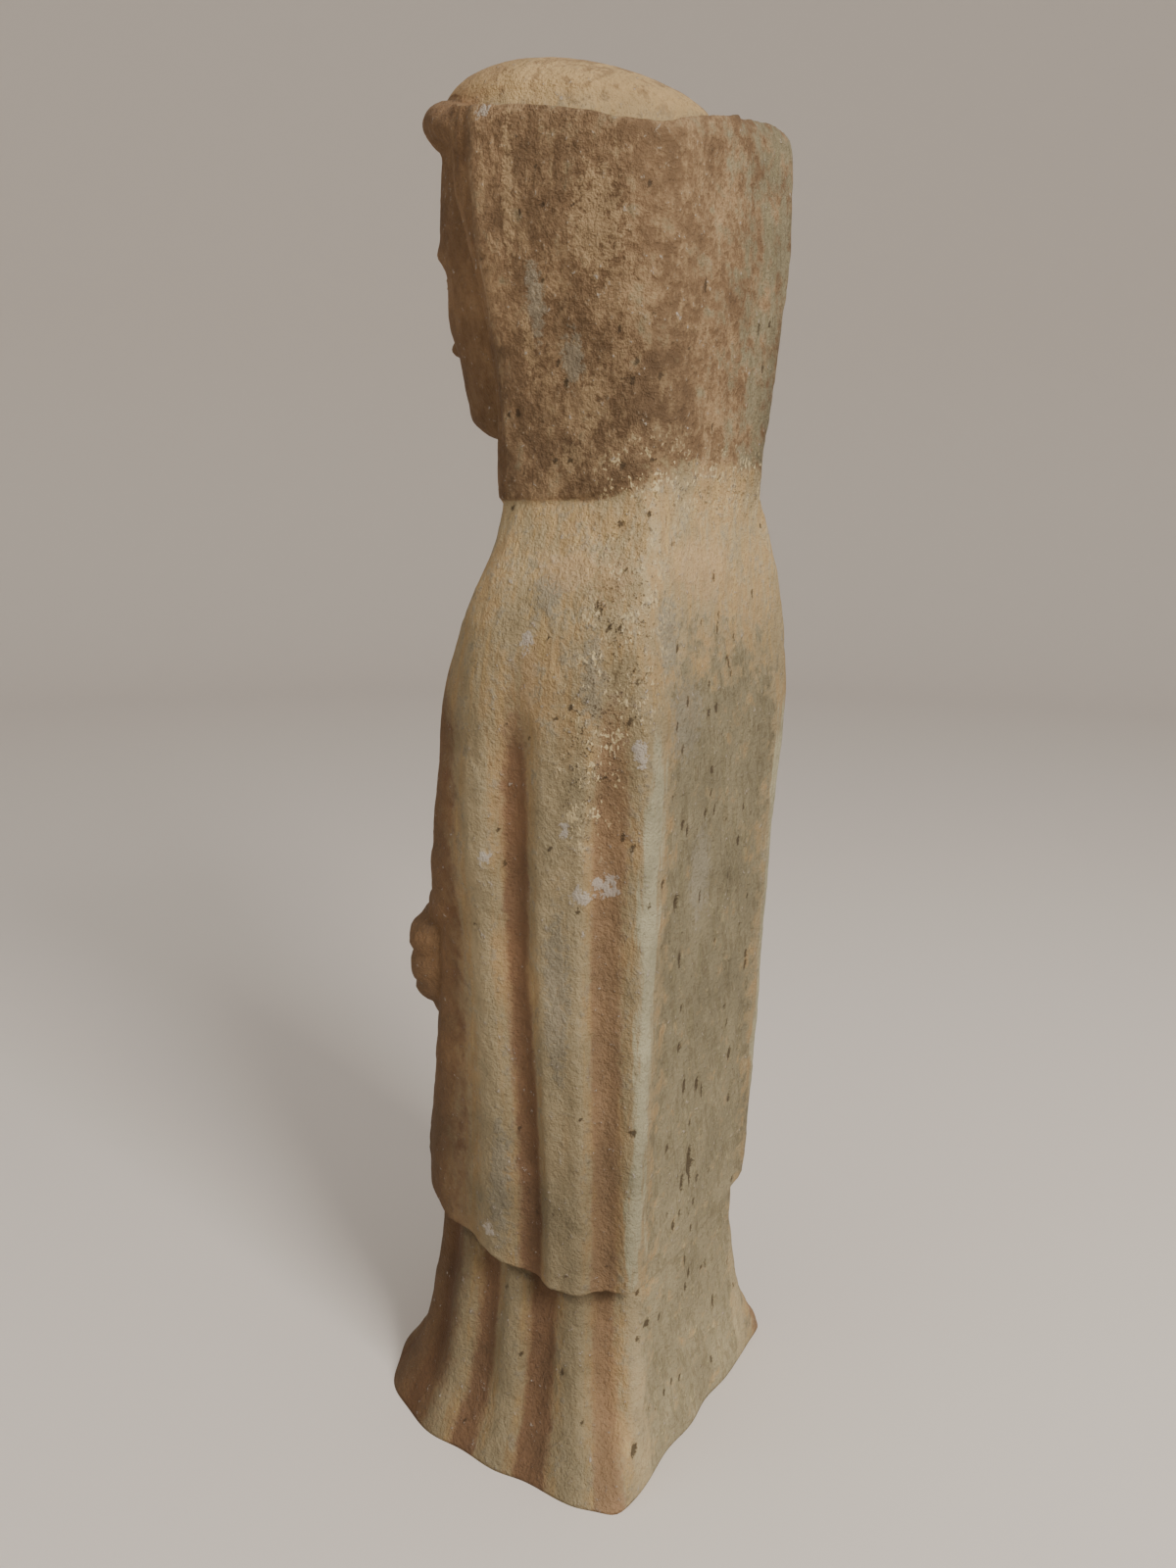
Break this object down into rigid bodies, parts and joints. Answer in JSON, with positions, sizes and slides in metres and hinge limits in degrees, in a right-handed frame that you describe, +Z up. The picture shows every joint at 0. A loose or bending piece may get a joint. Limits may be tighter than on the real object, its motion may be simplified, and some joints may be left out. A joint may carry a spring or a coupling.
{
  "type": "stone saint statue",
  "caption": "Standing saint in a long mantle and tunic, carved in the round from one block with a flat back and a flared foot that it stands on.",
  "frame": {"origin": "centre of the bounding box's underside, on the ground", "axes": "+Z up the figure, -Y the way the figure faces, +X its left side, +Y its flat back"},
  "size_m": [0.15, 0.1394, 0.5288],
  "materials": {
    "stone": "matt worn limestone, cream to grey-green, with brown and red-brown residues in the folds and chisel marks on the flat back"
  },
  "bodies": {
    "root": {"statue": "stone"}
  },
  "joints": []
}
